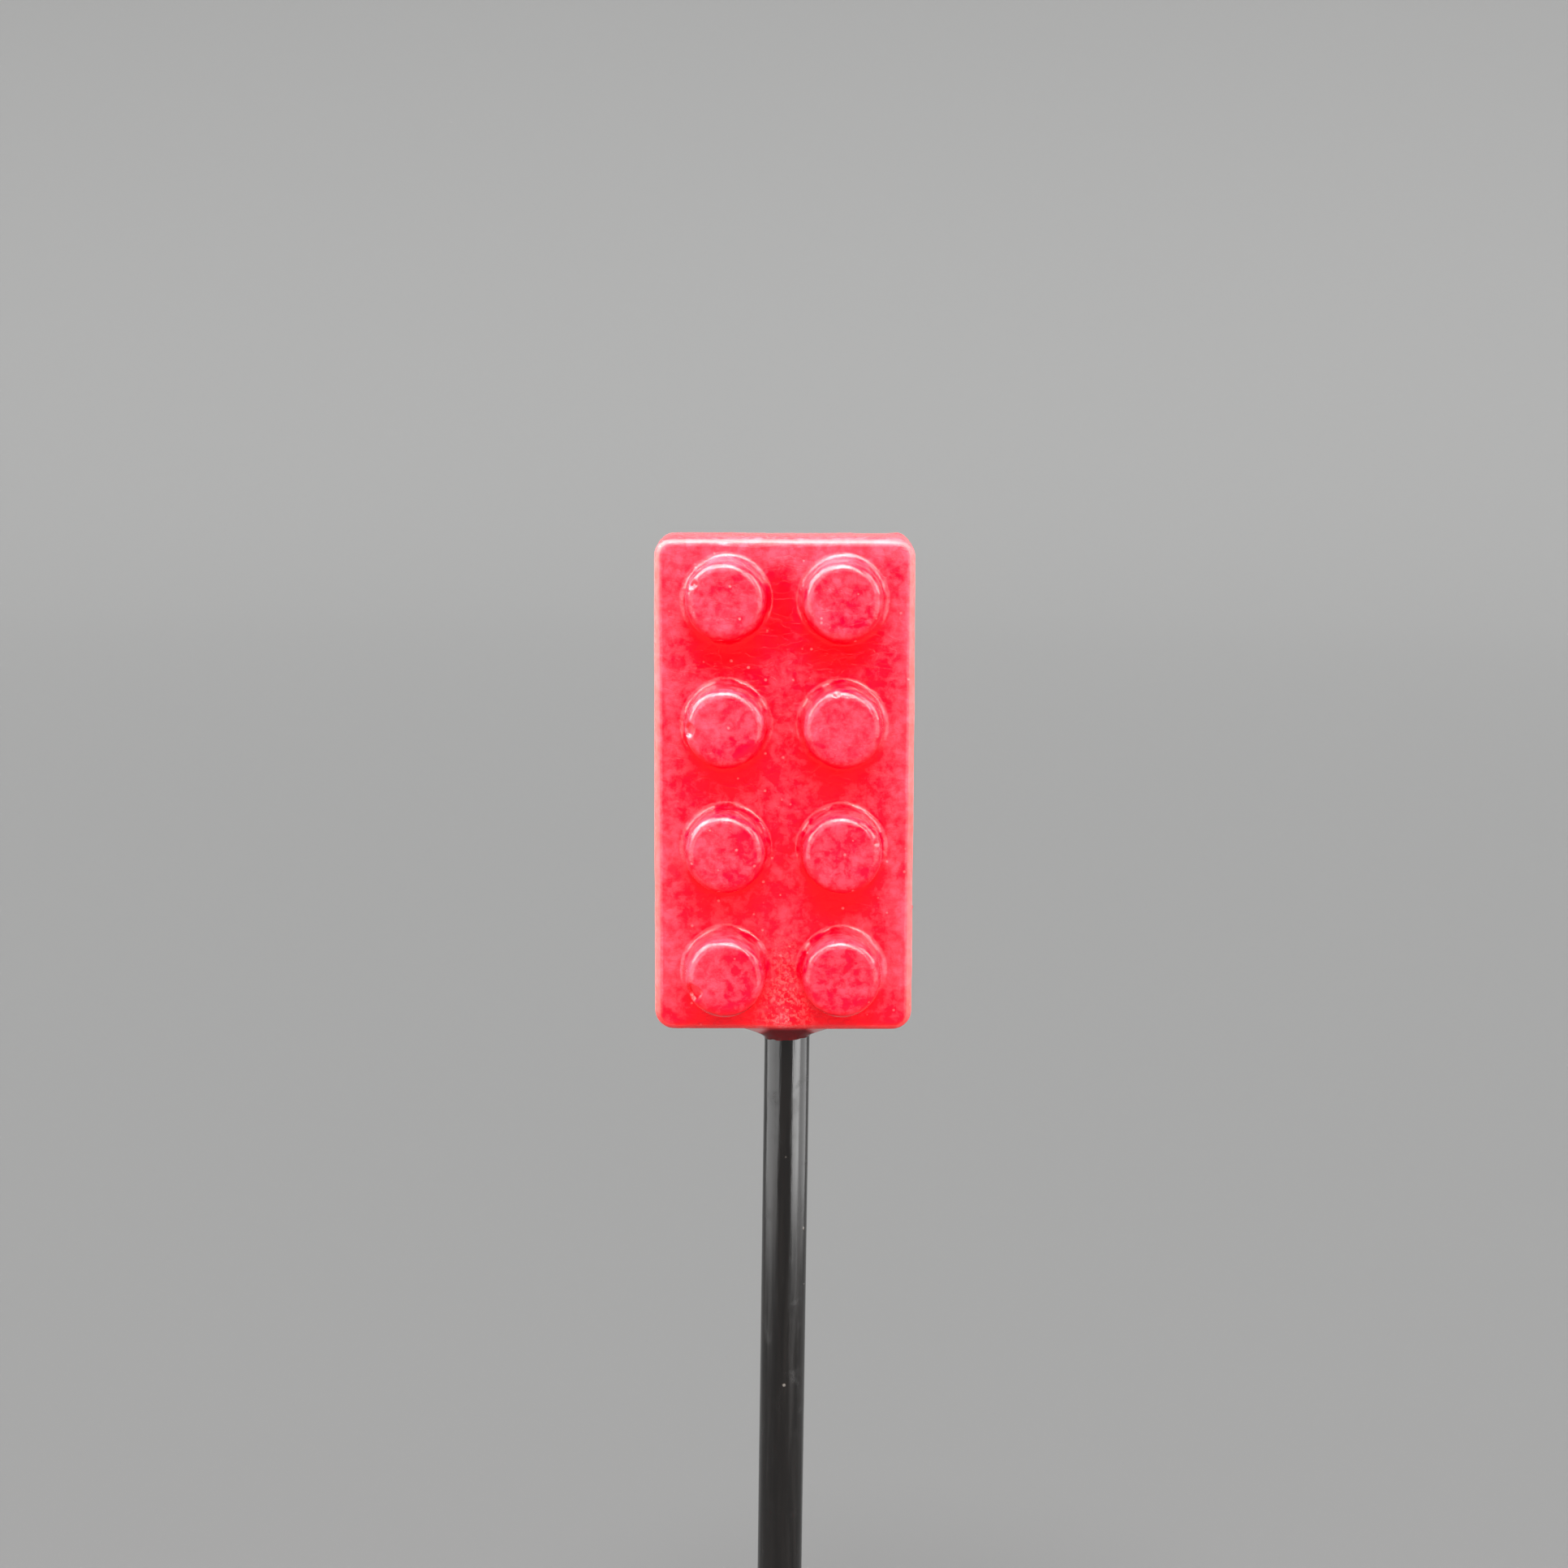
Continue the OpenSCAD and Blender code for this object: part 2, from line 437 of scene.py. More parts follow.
def castMarks(p, n, centres, inHole, skirt):  # how far a point moves, in the head's axes
    front, back = head["front"], head["back"]
    top = front - head["studHeight"]
    move = Vector((0, 0, 0))
    if not inHole:
        low = noise.fractal(p / marks["waveSize"], 1.0, 2.0, 2)
        fine = noise.fractal(p / marks["rippleSize"] + Vector((9, 3, 5)), 1.0, 2.0, 3)
        move += n * (marks["wave"] * low + marks["ripple"] * fine) * (1 - 0.8 * skirt)

    dist = min(math.hypot(p.x - x, p.z - z) for x, z in centres.values())
    if p.y < top + 0.2 * mm:
        move.y += marks["studDish"] * (1 - smooth(0.5 * mm, studs["topRadius"] - studs["round"], dist))

    # the back is the side that lay open, so it sank as it cooled
    if p.y > back - 0.05 * mm and not inHole:
        gap = min(head["width"] / 2 - abs(p.x), p.z, head["height"] - p.z)
        pour = 0.75 + 0.25 * noise.noise(p / (5 * mm) + Vector((2, 7, 1)))
        move.y -= marks["backSink"] * smooth(0.3 * mm, 4.0 * mm, gap) * pour

    for c, r, angle, width, depth in marks["chips"]:
        x, z = centres[(c, r)]
        across, up = math.cos(math.radians(angle)), math.sin(math.radians(angle))
        edgeAt = studs["topRadius"] - marks["chipIn"]
        away = Vector((p.x - x - edgeAt * across, (p.y - top) * 0.7, p.z - z - edgeAt * up))
        reach = width * (1 + 0.3 * noise.noise(p / marks["crumbSize"]))
        bite = smooth(reach, reach * 0.8, away.length)
        move += Vector((-across * 0.5, 0.85, -up * 0.5)) * depth * bite

    if p.y <= front + 0.3 * mm and dist >= studs["baseRadius"]:
        for x, z, radius in marks["beads"]:
            move.y -= radius * 0.8 * bump(math.hypot(p.x - x, p.z - z), radius)

    for side, z, length, out in marks["flash"]:
        if p.x * side > head["width"] / 2 - 0.8 * mm:
            near = bump(p.z - z, length) * bump(p.y - back + 0.3 * mm, marks["flashSize"])
            move.x += side * out * near
    corner = Vector((head["width"] / 2 - 1.2 * mm, back, head["height"]))
    move.z += marks["burr"] * bump((p - corner).length, marks["burrSize"])
    return move


def gritAt(p, dist):  # sugar that crystallised on the front above the stick, from 0 to 1
    front, foot = head["front"], studs["baseRadius"]
    column = bump(p.x - 0.2 * mm, marks["gritWidth"])
    onFront = smooth(front + 1.2 * mm, front - 0.1 * mm, p.y)
    clear = smooth(foot + 0.1 * mm, foot + 0.9 * mm, dist)
    return smooth(marks["gritTop"], 1.0 * mm, p.z) * column * onFront * clear


# Where the candy is painted paler or deeper red. Paler near the edges is partly its own cloudiness and
# partly painted light; deeper red below the studs is painted shade. In a pair, the tone starts at the
# first distance and is full at the second one.
tones = {
    "paleSide": (3.4 * mm, 0.5 * mm),  # in from the sides
    "paleTop": (4.6 * mm, 0.8 * mm),  # down from the top
    "paleTopGain": 1.35,
    "paleUp": (0.8 * mm, 5.0 * mm),  # up from the lower edge
    "paleBack": (0.7 * mm, 1.8 * mm),  # back from the front face, where it fades again
    "shadeBelow": [  # stud column, stud row, how strong the painted shade is below the stud
        (0, 3, 1.0), (1, 3, 1.0), (0, 2, 0.35), (1, 2, 0.35),
        (0, 1, 0.25), (1, 1, 0.9), (0, 0, 0.3), (1, 0, 0.3),
    ],
    "shadeDrop": 4.3 * mm,  # from a stud's centre down to the middle of its painted shade patch
    "shadeSize": (3.3 * mm, 2.3 * mm),
    "shadeFoot": (4.9 * mm, 3.9 * mm),  # painted shade in towards each stud, on its lower side
    "shadeGap": (-0.5 * mm, 37.0 * mm),  # middle of the painted shade patch between the upper studs
    "shadeGapSize": (1.5 * mm, 4.5 * mm),
    "shadeLow": (2.6 * mm, 0.8 * mm),  # painted shade down to the lower edge
    "rimShade": (2.9 * mm, 3.45 * mm),  # painted shade out to the lower side of a stud's wall
    "edgeFront": (0.02 * mm, 0.16 * mm),  # the pale rounded edge, back from the front face
    "edgeBack": (1.9 * mm, 0.7 * mm),
    "edgeIn": (1.2 * mm, 0.8 * mm),  # in from the outline
    "filmOut": (2.95 * mm, 2.50 * mm),  # in towards the stick, where the collar is only a film
}


def paleness(p, sideRim, topRim):  # paler near the outline of the front: partly the candy's own cloudiness, partly painted light where light gets in at the edges
    front, (fadeFrom, fadeTo) = head["front"], tones["paleBack"]
    pale = max(smooth(*tones["paleSide"], sideRim),
               tones["paleTopGain"] * smooth(*tones["paleTop"], topRim))
    faded = smooth(front + fadeFrom, front + fadeTo, p.y)
    return pale * smooth(*tones["paleUp"], p.z) * (1 - 0.8 * faded)


def paintedShade(p, centres, dist, drop, sideRim):  # painted shade: deeper, clearer red below the studs, between the upper ones and along the lower edge, where the light from above is blocked
    shade = 0
    wide, tall = tones["shadeSize"]
    for column, row, strength in tones["shadeBelow"]:
        x, z = centres[(column, row)]
        away = math.hypot((p.x - x * 0.94) / wide, (p.z - z + tones["shadeDrop"]) / tall)
        shade = max(shade, strength * smooth(1.25, 0.45, away))
    shade = max(shade, smooth(*tones["shadeFoot"], dist) * smooth(0.25, 0.95, drop))
    (x, z), (wide, tall) = tones["shadeGap"], tones["shadeGapSize"]
    shade = max(shade, smooth(1.2, 0.4, math.hypot((p.x - x) / wide, (p.z - z) / tall)))
    low = smooth(*tones["shadeLow"], p.z) * smooth(1.0 * mm, 5.0 * mm, sideRim)
    return max(shade, 0.8 * low)


def edgeGlow(p, n, rim, skirt):  # painted light: the rounded edge round the front lets light in, so it is painted a paler glow
    front, (start, full), (end, still) = head["front"], tones["edgeFront"], tones["edgeBack"]
    band = smooth(front + start, front + full, p.y) * smooth(front + end, front + still, p.y)
    return band * smooth(*tones["edgeIn"], rim) * (1 - 0.8 * abs(n.z)) * (1 - skirt)


def weatherAndPaintLight(ob):
    mesh = ob.data
    toHead = head["matrix"].inverted()
    turn = head["matrix"].to_3x3()
    front = head["front"]
    centres = {(c, r): (x, z) for c, r, x, z in studCentres()}
    top = front - head["studHeight"]
    fields = {name: [] for name in ("hazeAndPaintedLight", "deep", "film", "web", "grit", "edge")}
    places = [v.co.copy() for v in mesh.vertices]
    normals = [v.normal.copy() for v in mesh.vertices]
    for vertex, here, normal in zip(mesh.vertices, places, normals):
        p = toHead @ here
        n = toHead.to_3x3() @ normal
        axial = math.hypot(here.x, here.y)
        inHole = axial < stick["radius"] + 0.03 * mm and here.z < stick["length"] + 0.1 * mm
        skirt = smooth(0.1 * mm, -0.3 * mm, p.z)
        dist, studX, studZ = min((math.hypot(p.x - x, p.z - z), x, z) for x, z in centres.values())
        grit = 0 if inHole else gritAt(p, dist)
        move = castMarks(p, n, centres, inHole, skirt)
        rough = noise.fractal(p / marks["gritSize"], 0.7, 2.1, 3) + 0.15
        move += n * marks["grit"] * rough * grit
        vertex.co = here + turn @ move

        sideRim, topRim = head["width"] / 2 - abs(p.x), head["height"] - p.z
        onTop = smooth(front - 1.0 * mm, top + 0.1 * mm, p.y)
        onFace = smooth(front + 0.3 * mm, front - 0.05 * mm, p.y) * (1 - onTop)
        drop = (studZ - p.z) / max(dist, 1e-5)  # 1 straight below a stud, 0 beside it
        pale = paleness(p, sideRim, topRim)
        shade = paintedShade(p, centres, dist, drop, sideRim) * onFace * (1 - 0.7 * min(1.0, pale))
        lowRimShade = smooth(*tones["rimShade"], dist) * smooth(0.1, 0.8, drop)
        lowRimShade *= smooth(front - 0.3 * mm, front - 1.0 * mm, p.y)
        # painted light: each stud's top is paler towards its upper left, where the light falls, and
        # deeper red towards its lower right
        litSlant = 0.5 + 0.5 * ((studX - p.x) + (p.z - studZ)) / (2 * studs["topRadius"])
        film = smooth(*tones["filmOut"], axial)
        # the haze mixes the candy's own cloudiness near the outline with painted light near the edges
        # and on the studs' tops
        fields["hazeAndPaintedLight"].append(min(1.0, 0.5 * pale * (1 - onTop) + onTop * (0.46 * litSlant - 0.06)))
        # deep is painted shade, below the studs and on the lower side of their walls
        fields["deep"].append(min(1.0, max(shade, 0.8 * lowRimShade)) * (1 - grit))
        fields["edge"].append(edgeGlow(p, n, min(sideRim, topRim, p.z), skirt))
        fields["film"].append(skirt * film)
        fields["web"].append(skirt * (1 - film))
        fields["grit"].append(grit)
    for name, values in fields.items():
        mesh.attributes.new(name, "FLOAT", "POINT").data.foreach_set("value", values)
    mesh.update()


candyHead = makeObject("candyHead", headQuads())
bakeSubdivision(candyHead, 1)
weatherAndPaintLight(candyHead)
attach(candyHead, "root")
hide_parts("candy_head")
print("head:", len(candyHead.data.polygons), "faces")


def stickQuads():
    length, cut = stick["length"], stick["cutRound"]
    radius, bore = stick["radius"], stick["bore"]
    outside = [(radius - cut * (1 - math.sin(a)), cut * (1 - math.cos(a)))
               for a in arcSteps(3, 0, 90)]
    outside += stickProfile(cut, length - cut)[1:]
    outside += [(radius - cut * (1 - math.cos(a)), length - cut * (1 - math.sin(a)))
                for a in arcSteps(2, 0, 90)[1:]]
    inside = [(bore, length), (bore, 0.6 * mm), (bore, cut), (bore + cut, 0)]
    profile = fillSteps(outside, 1.6 * mm) + fillSteps(inside, 6 * mm)
    profile.append(profile[0])
    rings = []
    for r, z in profile:
        ring = []
        for k in range(stick["around"]):
            a = 2 * math.pi * k / stick["around"]
            ray = Vector((math.cos(a), math.sin(a), 0))
            # a drawn tube is never quite round: lengthwise lines that drift slowly along it
            lines = noise.noise(Vector((ray.x * 3.1, ray.y * 3.1, z * 14)))
            lines += 0.5 * noise.noise(Vector((ray.x * 8.3, ray.y * 8.3, z * 30 + 6)))
            oval = math.cos(2 * a + z * 9)
            wobble = stick["flutes"] * lines + stick["oval"] * oval if r > 1.5 * mm else 0
            ring.append(ray * (r + wobble) + Vector((0, 0, z)))
        rings.append(ring)
    return loft(rings)


candyStick = makeObject("candyStick", stickQuads(), weld=0.001 * mm)
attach(candyStick, "root")
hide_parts("stick")
print("stick:", len(candyStick.data.polygons), "faces")


def newGroup(name, inputs, outputs):
    group = bpy.data.node_groups.new(name, "ShaderNodeTree")
    for label, kind, value in inputs:
        socket = group.interface.new_socket(name=label, in_out="INPUT", socket_type=kind)
        socket.default_value = value
    for label, kind in outputs:
        group.interface.new_socket(name=label, in_out="OUTPUT", socket_type=kind)
    return group, group.nodes.new("NodeGroupInput"), group.nodes.new("NodeGroupOutput")


def addNode(tree, kind, **settings):
    node = tree.nodes.new(kind)
    for key, value in settings.items():
        setattr(node, key, value)
    return node


def mathNode(tree, operation, a, b=None, c=None, clamp=False):
    node = addNode(tree, "ShaderNodeMath", operation=operation, use_clamp=clamp)
    for socket, value in zip(node.inputs, (a, b, c)):
        if value is None:
            continue
        if isinstance(value, (int, float)):
            socket.default_value = value
        else:
            tree.links.new(value, socket)
    return node.outputs[0]


def mottleGroup():  # soft cloudy patches, from 0 to 1
    group, gin, gout = newGroup("mottle", [
        ("Vector", "NodeSocketVector", (0, 0, 0)), ("Scale", "NodeSocketFloat", 300.0),
        ("Detail", "NodeSocketFloat", 4.0), ("Warp", "NodeSocketFloat", 0.5),
        ("Low", "NodeSocketFloat", 0.4), ("High", "NodeSocketFloat", 0.6)],
        [("Value", "NodeSocketFloat")])
    cloud = addNode(group, "ShaderNodeTexNoise")
    cloud.inputs["Roughness"].default_value = 0.62
    group.links.new(gin.outputs["Vector"], cloud.inputs["Vector"])
    group.links.new(gin.outputs["Scale"], cloud.inputs["Scale"])
    group.links.new(gin.outputs["Detail"], cloud.inputs["Detail"])
    group.links.new(gin.outputs["Warp"], cloud.inputs["Distortion"])
    ramp = addNode(group, "ShaderNodeMapRange", interpolation_type="SMOOTHSTEP")
    group.links.new(cloud.outputs["Fac"], ramp.inputs["Value"])
    group.links.new(gin.outputs["Low"], ramp.inputs["From Min"])
    group.links.new(gin.outputs["High"], ramp.inputs["From Max"])
    group.links.new(ramp.outputs["Result"], gout.inputs["Value"])
    return group


def speckGroup():  # small round spots, scattered: trapped bubbles or dust
    group, gin, gout = newGroup("specks", [
        ("Vector", "NodeSocketVector", (0, 0, 0)), ("Scale", "NodeSocketFloat", 1500.0),
        ("Size", "NodeSocketFloat", 0.2), ("Share", "NodeSocketFloat", 0.2)],
        [("Mask", "NodeSocketFloat")])
    cells = addNode(group, "ShaderNodeTexVoronoi")
    group.links.new(gin.outputs["Vector"], cells.inputs["Vector"])
    group.links.new(gin.outputs["Scale"], cells.inputs["Scale"])
    spot = addNode(group, "ShaderNodeMapRange", interpolation_type="SMOOTHSTEP")
    spot.inputs["To Min"].default_value = 1.0
    spot.inputs["To Max"].default_value = 0.0
    group.links.new(cells.outputs["Distance"], spot.inputs["Value"])
    group.links.new(mathNode(group, "MULTIPLY", gin.outputs["Size"], 0.5), spot.inputs["From Min"])
    group.links.new(gin.outputs["Size"], spot.inputs["From Max"])
    pick = addNode(group, "ShaderNodeSeparateColor")
    group.links.new(cells.outputs["Color"], pick.inputs["Color"])
    chosen = mathNode(group, "LESS_THAN", pick.outputs["Red"], gin.outputs["Share"])
    group.links.new(mathNode(group, "MULTIPLY", spot.outputs["Result"], chosen), gout.inputs["Mask"])
    return group


def wispGroup():  # thin wandering lines where the noise crosses its middle
    group, gin, gout = newGroup("wisps", [
        ("Vector", "NodeSocketVector", (0, 0, 0)), ("Scale", "NodeSocketFloat", 800.0),
        ("Detail", "NodeSocketFloat", 3.0), ("Width", "NodeSocketFloat", 0.03)],
        [("Mask", "NodeSocketFloat")])
    cloud = addNode(group, "ShaderNodeTexNoise")
    cloud.inputs["Distortion"].default_value = 0.6
    group.links.new(gin.outputs["Vector"], cloud.inputs["Vector"])
    group.links.new(gin.outputs["Scale"], cloud.inputs["Scale"])
    group.links.new(gin.outputs["Detail"], cloud.inputs["Detail"])
    away = mathNode(group, "ABSOLUTE", mathNode(group, "SUBTRACT", cloud.outputs["Fac"], 0.5))
    line = addNode(group, "ShaderNodeMapRange", interpolation_type="SMOOTHSTEP")
    line.inputs["To Min"].default_value = 1.0
    line.inputs["To Max"].default_value = 0.0
    group.links.new(away, line.inputs["Value"])
    group.links.new(gin.outputs["Width"], line.inputs["From Max"])
    group.links.new(line.outputs["Result"], gout.inputs["Mask"])
    return group


mottle = mottleGroup()
specks = speckGroup()
wisps = wispGroup()


def place(tree, group, vector, **values):
    node = addNode(tree, "ShaderNodeGroup", node_tree=group)
    tree.links.new(vector, node.inputs["Vector"])
    for key, value in values.items():
        node.inputs[key].default_value = value
    return node.outputs[0]


def mixColour(tree, factor, a, b):
    node = addNode(tree, "ShaderNodeMix", data_type="RGBA")
    for socket, value in ((node.inputs[0], factor), (node.inputs[6], a), (node.inputs[7], b)):
        if isinstance(value, (int, float, tuple)):
            socket.default_value = value
        else:
            tree.links.new(value, socket)
    return node.outputs[2]


def newMaterial(name):
    material = bpy.data.materials.new(name)
    material.use_nodes = True
    return material, material.node_tree, material.node_tree.nodes["Principled BSDF"]


def attribute(tree, name):
    return addNode(tree, "ShaderNodeAttribute", attribute_name=name).outputs["Fac"]


def addBump(tree, shader, heights, strength, distance):
    relief = addNode(tree, "ShaderNodeBump")
    relief.inputs["Strength"].default_value = strength
    relief.inputs["Distance"].default_value = distance
    tree.links.new(heights, relief.inputs["Height"])
    tree.links.new(relief.outputs["Normal"], shader.inputs["Normal"])


sugar = {
    "clear": (0.93, 0.0, 0.018, 1),
    "cloudy": (0.97, 0.063, 0.102, 1),
    # the deep red of the painted shade
    "deep": (0.93, 0.0, 0.007, 1),
    "dark": (0.45, 0.0, 0.015, 1),
    "film": (0.13, 0.0, 0.002, 1),
    "web": (0.88, 0.36, 0.36, 1),
    "bloom": (1.0, 0.36, 0.35, 1),
    "glow": (1.0, 0.34, 0.25, 1),
    "scatterRadius": (1.0, 0.20, 0.24),
    "scatterScale": 1.1 * mm,
    "roughness": 0.055,
    "bump": 0.05 * mm,
    "ior": 1.47,
    # textures: wide clouds, fine clouds, dark threads, bubbles, dark spots, crystals, the skin
    "wide": {"Scale": 240.0, "Detail": 2.0, "Warp": 0.6, "Low": 0.30, "High": 0.70},
    "fine": {"Scale": 1050.0, "Detail": 5.0, "Warp": 0.25, "Low": 0.33, "High": 0.67},
    "threads": {"Scale": 760.0, "Detail": 4.0, "Width": 0.035},
    "bubbles": {"Scale": 1300.0, "Size": 0.20, "Share": 0.14},
    "spots": {"Scale": 420.0, "Size": 0.10, "Share": 0.35},
    "crystals": {"Scale": 2400.0, "Detail": 3.0, "Warp": 0.4, "Low": 0.46, "High": 0.62},
    "skin": {"Scale": 700.0, "Detail": 4.0, "Warp": 0.3, "Low": 0.2, "High": 0.8},
    # how much each one adds to the cloudiness, which starts below nothing
    "cloudStart": -0.38,
    "cloudHaze": 0.80,
    "cloudWide": 0.50,
    "cloudFine": 0.68,
    "cloudShade": 0.75,
}


def sugarMaterial():
    material, tree, shader = newMaterial("boiledSugar")
    places = addNode(tree, "ShaderNodeTexCoord").outputs["Object"]
    flat = addNode(tree, "ShaderNodeMapping")  # the threads lie flat
    flat.inputs["Scale"].default_value = (0.6, 1, 1.5)
    tree.links.new(places, flat.inputs["Vector"])
    wide = place(tree, mottle, places, **sugar["wide"])
    fine = place(tree, mottle, places, **sugar["fine"])
    threads = place(tree, wisps, flat.outputs["Vector"], **sugar["threads"])
    bubbles = place(tree, specks, places, **sugar["bubbles"])
    spots = place(tree, specks, places, **sugar["spots"])
    hazeAndPaintedLight, deep, grit = (attribute(tree, name) for name in ("hazeAndPaintedLight", "deep", "grit"))
    edge, web, film = (attribute(tree, name) for name in ("edge", "web", "film"))

    def share(mask, amount):
        return mathNode(tree, "MULTIPLY", mask, amount)

    cloud = mathNode(tree, "MULTIPLY_ADD", hazeAndPaintedLight, sugar["cloudHaze"], sugar["cloudStart"])
    cloud = mathNode(tree, "ADD", cloud, share(wide, sugar["cloudWide"]))
    cloud = mathNode(tree, "ADD", cloud, share(fine, sugar["cloudFine"]))
    # painted shade: less cloud and a deep red where the studs block the light
    cloud = mathNode(tree, "SUBTRACT", cloud, share(deep, sugar["cloudShade"]), clamp=True)
    colour = mixColour(tree, cloud, sugar["clear"], sugar["cloudy"])
    colour = mixColour(tree, share(deep, 0.9), colour, sugar["deep"])
    colour = mixColour(tree, share(threads, 0.18), colour, sugar["dark"])
    colour = mixColour(tree, share(spots, 0.5), colour, sugar["dark"])
    grain = mathNode(tree, "MULTIPLY", place(tree, mottle, places, **sugar["crystals"]), grit)
    bloom = mathNode(tree, "MAXIMUM", share(grain, 0.30), share(bubbles, 0.22))
    colour = mixColour(tree, bloom, colour, sugar["bloom"])
    # painted light: the paler glow along the rounded front edge
    colour = mixColour(tree, share(edge, 0.24), colour, sugar["glow"])
    colour = mixColour(tree, web, colour, sugar["web"])
    colour = mixColour(tree, film, colour, sugar["film"])
    tree.links.new(colour, shader.inputs["Base Color"])
    # the webs beside the stick are thin enough to look through
    tree.links.new(mathNode(tree, "MULTIPLY_ADD", web, -0.25, 1.0), shader.inputs["Alpha"])

    rough = mathNode(tree, "MULTIPLY_ADD", cloud, 0.05, sugar["roughness"])
    rough = mathNode(tree, "ADD", rough, share(edge, 0.60))
    tree.links.new(rough, shader.inputs["Roughness"])
    shader.inputs["IOR"].default_value = sugar["ior"]
    shader.inputs["Subsurface Weight"].default_value = 1.0
    shader.inputs["Subsurface Radius"].default_value = sugar["scatterRadius"]
    shader.inputs["Subsurface Scale"].default_value = sugar["scatterScale"]

    skin = place(tree, mottle, places, **sugar["skin"])
    heights = mathNode(tree, "ADD", share(grain, 1.2), share(skin, 0.3))
    heights = mathNode(tree, "SUBTRACT", heights, share(bubbles, 0.6))
    heights = mathNode(tree, "SUBTRACT", heights, share(threads, 0.25))
    addBump(tree, shader, heights, 0.6, sugar["bump"])
    return material


candyHead.data.materials.clear()
candyHead.data.materials.append(sugarMaterial())


tube = {
    "black": (0.0036, 0.0029, 0.0027, 1),
    "worn": (0.010, 0.0082, 0.0074, 1),
    "dust": (0.22, 0.20, 0.18, 1),
    "roughness": 0.16,
    "bump": 0.02 * mm,
    "ior": 1.5,
    "drawLines": {"Scale": 2400.0, "Detail": 4.0, "Warp": 0.0, "Low": 0.35, "High": 0.7},
    "drawStretch": 0.04,  # scale of the draw lines along the tube
    "handling": {"Scale": 420.0, "Detail": 5.0, "Warp": 0.6, "Low": 0.5, "High": 0.75},
    "specks": {"Scale": 620.0, "Size": 0.11, "Share": 0.10},
}


def tubeMaterial():
    material, tree, shader = newMaterial("drawnTube")
    places = addNode(tree, "ShaderNodeTexCoord").outputs["Object"]
    along = addNode(tree, "ShaderNodeMapping")
    along.inputs["Scale"].default_value = (1, 1, tube["drawStretch"])
    tree.links.new(places, along.inputs["Vector"])
    drawLines = place(tree, mottle, along.outputs["Vector"], **tube["drawLines"])
    handling = place(tree, mottle, places, **tube["handling"])
    dust = place(tree, specks, places, **tube["specks"])
    colour = mixColour(tree, mathNode(tree, "MULTIPLY", drawLines, 0.5), tube["black"], tube["worn"])
    colour = mixColour(tree, mathNode(tree, "MULTIPLY", dust, 0.6), colour, tube["dust"])
    tree.links.new(colour, shader.inputs["Base Color"])
    rough = mathNode(tree, "MULTIPLY_ADD", handling, 0.12, tube["roughness"])
    rough = mathNode(tree, "ADD", rough, mathNode(tree, "MULTIPLY", drawLines, 0.06))
    tree.links.new(rough, shader.inputs["Roughness"])
    shader.inputs["IOR"].default_value = tube["ior"]
    heights = mathNode(tree, "ADD", drawLines, mathNode(tree, "MULTIPLY", dust, 2.0))
    addBump(tree, shader, heights, 0.35, tube["bump"])
    return material


candyStick.data.materials.clear()
candyStick.data.materials.append(tubeMaterial())
print("materials made")


studio = {
    "flat": 1.6,
    "sweep": 1.2,
    "wall": 2.6,
    "around": 96,
    "floor": (0.50, 0.50, 0.495, 1),
    "floorRoughness": 0.9,
    "air": (0.80, 0.81, 0.83, 1),
    "airStrength": 0.28,
    "ceiling": {"azimuth": -10, "elevation": 61, "angle": 30, "strength": 2.1},
    # soft boxes over the head: name, place from its middle, size, radiance, tint, what they light
    "above": [
        ("key", (-0.06, -0.35, 0.34), (0.55, 0.55), 2.4, (1, 1, 1), "both"),
        ("arch", (-0.04, -0.040, 0.17), (0.90, 0.12), 11.0, (1.0, 0.93, 0.86), "both"),
        ("archLeft", (-0.166, -0.030, 0.110), (0.12, 0.15), 10.0, (1.0, 0.93, 0.86), "head"),
        ("archRight", (0.166, -0.030, 0.110), (0.12, 0.15), 8.0, (1.0, 0.93, 0.86), "head"),
    ],
    # soft boxes that stand round it: name, azimuth, distance, low, high, width, radiance, what
    # they light. Azimuth 0 is in front of the studs, and 90 to the right.
    "round": [
        ("fillLeft", -52, 0.35, -0.10, 0.24, 0.36, 2.3, "head"),
        ("fillRight", 52, 0.35, -0.10, 0.24, 0.36, 2.3, "head"),
        ("rightKey", 53, 0.20, 0.020, 0.085, 0.14, 9.0, "stick"),
        ("rightFill", 96, 0.22, 0.010, 0.085, 0.20, 3.0, "stick"),
        ("leftBroad", -76, 0.24, 0.0, 0.085, 0.36, 3.2, "stick"),
    ],
}


